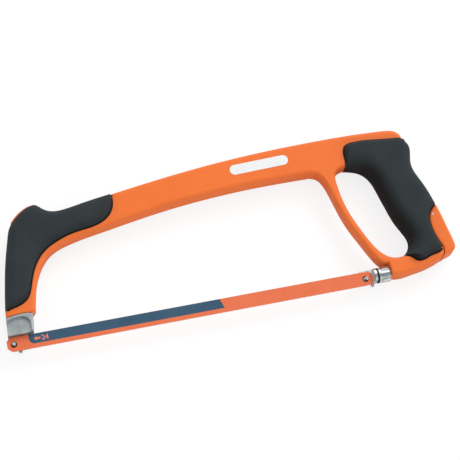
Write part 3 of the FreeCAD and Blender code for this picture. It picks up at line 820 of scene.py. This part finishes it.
casting = moulded("frame_casting", [row[0] for row in SIDES], casting_height, ORANGE,
                  hole=FINGER_HOLE, pitch=1.6, depths=(0.3, 0.8, 1.5, 2.4))

# %% [markdown]
# ## Bays inside the handle
# The rooms for the lever's hub and cheeks, the tail of the draw bar, the
# catch and the front anchor are cut out of the skin, because they show when
# the lever is open.  Booleans with straight prisms do that in one step.

# %% Prisms and carving
def prism(name, outline, half):
    """A cutter with straight walls, for the booleans only."""
    count = len(outline)
    verts = [at(x, y, z) for z in (-half, half) for x, y in outline]
    caps = [tuple(reversed(range(count))), tuple(range(count, 2 * count))]
    walls = [(i, (i + 1) % count, (i + 1) % count + count, i + count) for i in range(count)]
    return add_mesh(name, verts, caps + walls)


def carve(obj, cutters):
    """Cut the cutters out of a mesh for good, then remove them."""
    for cutter in cutters:
        cut = obj.modifiers.new(cutter.name, "BOOLEAN")
        cut.object = cutter
        cut.operation = "DIFFERENCE"
        cut.solver = "EXACT"
    bpy.context.view_layer.update()
    result = obj.evaluated_get(bpy.context.evaluated_depsgraph_get())
    carved = bpy.data.meshes.new_from_object(result)
    obj.modifiers.clear()
    obj.data = carved
    for cutter in cutters:
        bpy.data.objects.remove(cutter)
    carved.set_sharp_from_angle(angle=math.radians(40))
    print(obj.name, "carved:", len(carved.polygons), "faces")


HUB_RADIUS = 6.9
HUB = [(PIVOT.x + HUB_RADIUS * math.cos(a), PIVOT.y + HUB_RADIUS * math.sin(a))
       for a in np.linspace(0, 2 * math.pi, 48, False)]
CHEEKS = [(360.6, 6.9), (366, 6.3), (374.1, 5.0), (374.1, 26.05), (360.6, 26.05)]
TAIL = [(330, -1.7), (334.5, -1.45), (340, 0.2), (356.5, 4.0), (368.5, 5.6), (368.5, 19),
        (352, 19), (330, 4.0)]
CATCH = [(361.4, 39), (372, 39), (372, 50), (361.4, 50)]
ANCHOR = [(4, 20), (17, 20), (17, 40.2), (4, 40.2)]
carve(casting, [
    prism("hub_room", HUB, 5.3),
    prism("cheek_room", CHEEKS, 5.3),
    prism("tail_room", TAIL, 2.6),
    prism("catch_room", CATCH, 3.35),
    prism("anchor_socket", ANCHOR, 4.0),
])
dressed(casting, "frame", "saw_frame")

# %% [markdown]
# ## Joint between the bar and the lever
# The gap between the two castings is too narrow to catch a shadow of its
# own, so two thin black strips of painted shadow line it.  They lie above
# and below the room that the lever's neck swings through.

# %% Painted shadow strips in the joint
STRIP_INNER, STRIP_OUTER = 11.05, 11.42    # radii about the lever's pivot, mm
STRIP_FROM, STRIP_TO = 5.45, 7.2           # heights over the middle of the saw, mm
rail = np.vstack([arc(STRIP_INNER), arc(STRIP_OUTER)[::-1]])
count = len(rail)
verts, faces = [], []
for low_z, high_z in ((STRIP_FROM, STRIP_TO), (-STRIP_TO, -STRIP_FROM)):
    start = len(verts)
    verts += [at(x, y, z) for z in (low_z, high_z) for x, y in rail]
    faces += [(start + i, start + (i + 1) % count, start + (i + 1) % count + count,
               start + i + count) for i in range(count)]
# painted shadow in the joint
joint_line = add_mesh("joint_line", verts, faces, PAINTED_SHADOW)
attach(joint_line, "frame")
print(joint_line.name, "has", len(faces), "faces")

# %% [markdown]
# ## Front pad and handle grip
# Both grips use the same builder.  They start a little below the painted
# face, so that they grow out of it without a gap.

# %% Front pad
FULL = 14.0    # half the thickness of a grip where it is fullest, mm
SUNK = 5.8     # where a side that butts on the frame starts
THIN = 2.4     # where a side that wraps round starts


def pad_height(p):
    wraps = roll(distance_to(p, PAD_WRAP), 9.5, THIN, FULL, 2.3)
    butts = roll(distance_to(p, PAD_BUTT), 5.5, SUNK, FULL, 2.3)
    return np.minimum(wraps, butts)


pad = moulded("front_pad_skin", PAD, pad_height, RUBBER)
dressed(pad, "frame", "front_grip_pad")

# %% Handle grip
def grip_height(p):
    fingers = roll(distance_to(p, GRIP_FINGERS), 15.0, THIN, FULL, 1.9)
    palm = roll(distance_to(p, GRIP_PALM), 10.0, THIN, FULL, 2.3)
    butts = [roll(distance_to(p, side), 5.0, SUNK, FULL, 2.3)
             for side in (GRIP_TOP, GRIP_SEAM, GRIP_FOOT)]
    return np.minimum.reduce([fingers, palm] + butts)


grip = moulded("handle_grip_skin", GRIP, grip_height, RUBBER)
carve(grip, [prism("cheek_bay", [(360, 9), (378, 9), (378, 49.5), (360, 49.5)], 5.6)])
dressed(grip, "frame", "handle_grip")

# %% [markdown]
# ## Painted shadow along the seams
# Where the rubber meets the casting, the shadow in the seam is painted: a
# narrow, slightly raised black strip along each side that butts on the
# painted face.

# %% Painted shadow strips along the seams
SHADOW_STRIP_SECTION = ((-0.5, -0.15), (-0.4, 0.10), (0.4, 0.10), (0.5, -0.15))  # share of width, rise


def painted_shadow_strip(name, line, wide=1.6, out=0.45, level=None):
    """A narrow strip of painted shadow to the right of a line, on both faces of the frame."""
    along = np.gradient(line, axis=0)
    side = np.stack([along[:, 1], -along[:, 0]], 1) / np.linalg.norm(along, axis=1)[:, None]
    rails = [line + side * (out + share * wide) for share, _ in SHADOW_STRIP_SECTION]
    heights = [(casting_height(rail) if level is None else np.full(len(rail), level)) + rise
               for rail, (_, rise) in zip(rails, SHADOW_STRIP_SECTION)]
    verts, faces = [], []
    for face in (1, -1):
        start = len(verts)
        verts += [at(*rail[i], face * height[i])
                  for i in range(len(line)) for rail, height in zip(rails, heights)]
        for i in range(len(line) - 1):
            a, b = start + 4 * i, start + 4 * (i + 1)
            for j in range(3):
                quad = (a + j, a + j + 1, b + j + 1, b + j)
                faces.append(quad if face < 0 else quad[::-1])
    obj = add_mesh(name, verts, faces, PAINTED_SHADOW)
    obj.data.shade_smooth()
    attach(obj, "frame")
    print(name, "has", len(faces), "faces")


painted_shadow_strip("pad_shadow_line", PAD_BUTT[2:-2])
painted_shadow_strip("grip_top_shadow_line", GRIP_TOP[-3:0:-1])
painted_shadow_strip("grip_foot_shadow_line", GRIP_FOOT[::-1])
painted_shadow_strip("grip_seam_shadow_line", GRIP_SEAM[-3:1:-1], wide=1.7, out=0.0, level=8.2)

# %% [markdown]
# ## Printing on the blade
# Near the front end the band carries the tooth count and an arrow that shows
# which way the teeth point.  They are a hair-thin film on the paint, and so
# is the painted shadow round the edges of the two blade holes.

# %% Film on the blade
TOP_OF_BLADE = 0.65
FILM = 0.03    # height of the print over the paint, mm


def film(name, shapes, finish):
    """Flat shapes, printed or of painted shadow, a few hundredths of a millimetre over the blade.
    """
    verts, faces = [], []
    for shape in shapes:
        start = len(verts)
        verts += [at(x, y, TOP_OF_BLADE + FILM) for x, y in shape]
        faces.append(tuple(range(start, start + len(shape))))
    obj = add_mesh(name, verts, faces, finish)
    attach(obj, "blade")
    print(name, "has", len(faces), "shapes")


# %% Arrow and number
ARROW = [(16.6, 1.9), (19.0, 3.7), (19.0, 2.7), (22.0, 2.7), (22.0, 1.1), (19.0, 1.1), (19.0, 0.1)]
BOLDER = 0.022    # how far the digits are thickened, as a share of their size


def numeral(text, x, y, size):
    """Outlines of plain digits from the built-in letter shapes."""
    curve = bpy.data.curves.new("digits", "FONT")
    curve.body = text
    curve.size = size
    curve.offset = BOLDER * size
    holder = bpy.data.objects.new("digits", curve)
    bpy.context.collection.objects.link(holder)
    bpy.context.view_layer.update()
    shaped = holder.evaluated_get(bpy.context.evaluated_depsgraph_get())
    mesh = bpy.data.meshes.new_from_object(shaped)
    corners = [(x + v.co.x, y + v.co.y) for v in mesh.vertices]
    bpy.data.objects.remove(holder)
    return [[corners[i] for i in f.vertices] for f in mesh.polygons]


film("tooth_count_print", [ARROW] + numeral("24", 22.8, -0.2, 6.0), PRINT)

# %% Painted shadow round the blade's holes
REAR_PIN = 300.0    # hole to hole along the blade
HOLE, RIM = 1.7, 2.6    # radii, mm
SEGMENTS = 32


def hole_shadow_ring(x):
    """Painted shadow round a blade hole, as a ring of small flat pieces."""
    turn = np.linspace(0, 2 * math.pi, SEGMENTS + 1)
    inner, outer = [[(x + r * math.cos(a), r * math.sin(a)) for a in turn] for r in (HOLE, RIM)]
    return [(inner[i], outer[i], outer[i + 1], inner[i + 1]) for i in range(SEGMENTS)]


# painted shadow round the two blade holes
film("hole_shadow_rings", hole_shadow_ring(0.0) + hole_shadow_ring(REAR_PIN), PAINTED_SHADOW)

# %% [markdown]
# ## Table
# A plain white table.  Light sees a white surface, and the camera sees a
# darker one with a trace of glow, which keeps the table white while the
# saw's faint shadow stays.

# %% Floor
SIZE = 6.0
SEEN_BY_LIGHT = (0.86, 0.86, 0.86, 1)
SEEN_BY_CAMERA = (0.24, 0.24, 0.24, 1)
GLOW = 0.80

floor_mat = bpy.data.materials.new("table_white")
floor_mat.use_nodes = True
floor_mat.node_tree.nodes.clear()
kit = Nodes(floor_mat.node_tree)
by_camera = kit.add("LightPath").outputs["Is Camera Ray"]
white = kit.mix(by_camera, SEEN_BY_LIGHT, SEEN_BY_CAMERA)
matte = kit.add("BsdfDiffuse", inputs={"Color": white})
glow = kit.add("Emission", inputs={"Color": WHITE, "Strength": kit.product(by_camera, GLOW)})
both = kit.add("AddShader", inputs={0: matte.outputs[0], 1: glow.outputs[0]})
kit.add("OutputMaterial", inputs={"Surface": both.outputs[0]})

corners = [(-SIZE, -SIZE, 0), (SIZE, -SIZE, 0), (SIZE, SIZE, 0), (-SIZE, SIZE, 0)]
floor = add_mesh("floor", corners, [(0, 1, 2, 3)], floor_mat)
print("the table is", 2 * SIZE, "m wide")

# %% [markdown]
# ## Finish
# The last step brings the scene up to date.

# %% The end
bpy.context.view_layer.update()
